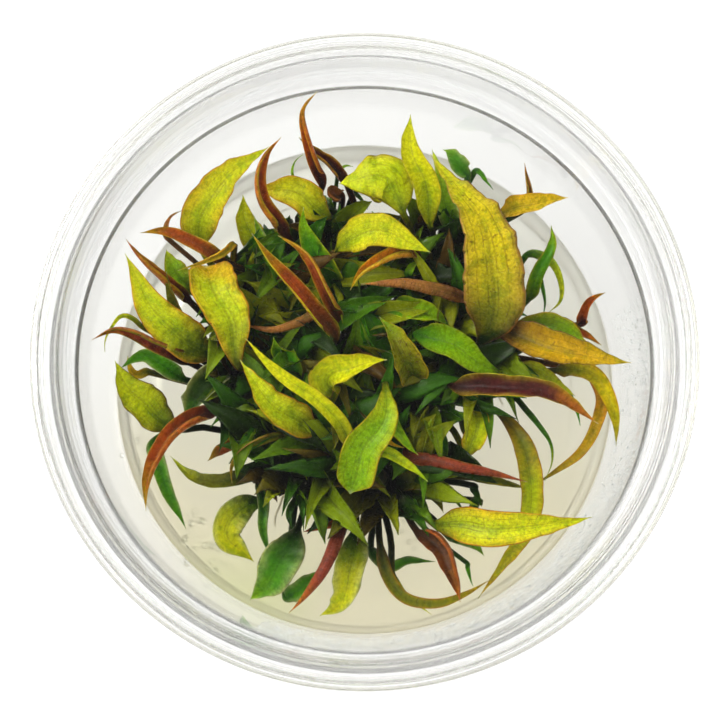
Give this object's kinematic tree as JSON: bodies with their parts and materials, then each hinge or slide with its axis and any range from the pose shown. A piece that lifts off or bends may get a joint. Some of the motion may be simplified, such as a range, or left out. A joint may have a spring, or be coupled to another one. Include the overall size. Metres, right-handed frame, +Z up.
{
  "type": "tissue culture plant cup",
  "caption": "Round clear culture cup with its lid on, holding a dense clump of small Cryptocoryne purpurea plantlets rooted in pale gel.",
  "frame": {"origin": "middle of the cup's foot, on the surface that it stands on", "axes": "+Z up along the cup's axis, -Y towards the picture's lower edge, +X towards its right"},
  "size_m": [0.119, 0.119, 0.05],
  "materials": {
    "cup_plastic": "clear moulded plastic, glossy",
    "lid_plastic": "clear moulded plastic, glossy",
    "culture_gel": "set culture gel, whitish and translucent, wet on top",
    "crown": "short dark green rhizome",
    "root": "fine pale roots in the gel",
    "water": "condensed droplets, clear",
    "leaf_yellow": "young yellow-green blade, glossy and wet",
    "leaf_lime": "yellow-green blade with finely netted veins",
    "leaf_green": "fresh green blade, glossy",
    "leaf_olive": "olive-green blade with a brown margin",
    "leaf_amber": "amber blade with dark netted veins",
    "leaf_tan": "tan blade, rolled lengthwise",
    "leaf_rust": "red-brown blade with an orange margin",
    "leaf_red": "red blade with darker veins and an orange tip",
    "leaf_maroon": "dark maroon blade, orange at its tip"
  },
  "bodies": {
    "root": {"cup": "cup_plastic", "lid": "lid_plastic", "gel": "culture_gel", "plant_1_crown": "crown", "plant_2_crown": "crown", "plant_3_crown": "crown", "plant_4_crown": "crown", "plant_5_crown": "crown", "plant_6_crown": "crown", "plant_7_crown": "crown", "plant_8_crown": "crown", "plant_9_crown": "crown", "plant_1_leaf_1": "leaf_maroon", "plant_1_leaf_2": "leaf_maroon", "plant_1_leaf_3": "leaf_rust", "plant_1_leaf_4": "leaf_lime", "plant_1_leaf_5": "leaf_yellow", "plant_2_leaf_1": "leaf_yellow", "plant_2_leaf_2": "leaf_yellow", "plant_2_leaf_3": "leaf_green", "plant_2_leaf_4": "leaf_amber", "plant_2_leaf_5": "leaf_amber", "plant_2_leaf_6": "leaf_tan", "plant_3_leaf_1": "leaf_yellow", "plant_3_leaf_2": "leaf_rust", "plant_3_leaf_3": "leaf_rust", "plant_4_leaf_1": "leaf_yellow", "plant_4_leaf_2": "leaf_red", "plant_4_leaf_3": "leaf_lime", "plant_4_leaf_4": "leaf_red", "plant_4_leaf_5": "leaf_green", "plant_4_leaf_6": "leaf_lime", "plant_4_leaf_7": "leaf_green", "plant_5_leaf_1": "leaf_amber", "plant_5_leaf_2": "leaf_amber", "plant_5_leaf_3": "leaf_green", "plant_5_leaf_4": "leaf_green", "plant_6_leaf_1": "leaf_olive", "plant_6_leaf_2": "leaf_lime", "plant_6_leaf_3": "leaf_rust", "plant_6_leaf_4": "leaf_green", "plant_6_leaf_5": "leaf_red", "plant_6_leaf_6": "leaf_amber", "plant_7_leaf_1": "leaf_amber", "plant_7_leaf_2": "leaf_rust", "plant_7_leaf_3": "leaf_green", "plant_7_leaf_4": "leaf_amber", "plant_7_leaf_5": "leaf_rust", "plant_8_leaf_1": "leaf_red", "plant_8_leaf_2": "leaf_yellow", "plant_8_leaf_3": "leaf_olive", "plant_8_leaf_4": "leaf_maroon", "plant_8_leaf_5": "leaf_yellow", "plant_8_leaf_6": "leaf_olive", "plant_8_leaf_7": "leaf_yellow", "plant_9_leaf_1": "leaf_olive", "plant_9_leaf_2": "leaf_yellow", "plant_9_leaf_3": "leaf_green", "plant_9_leaf_4": "leaf_lime", "plant_9_leaf_5": "leaf_yellow"}
  },
  "joints": []
}
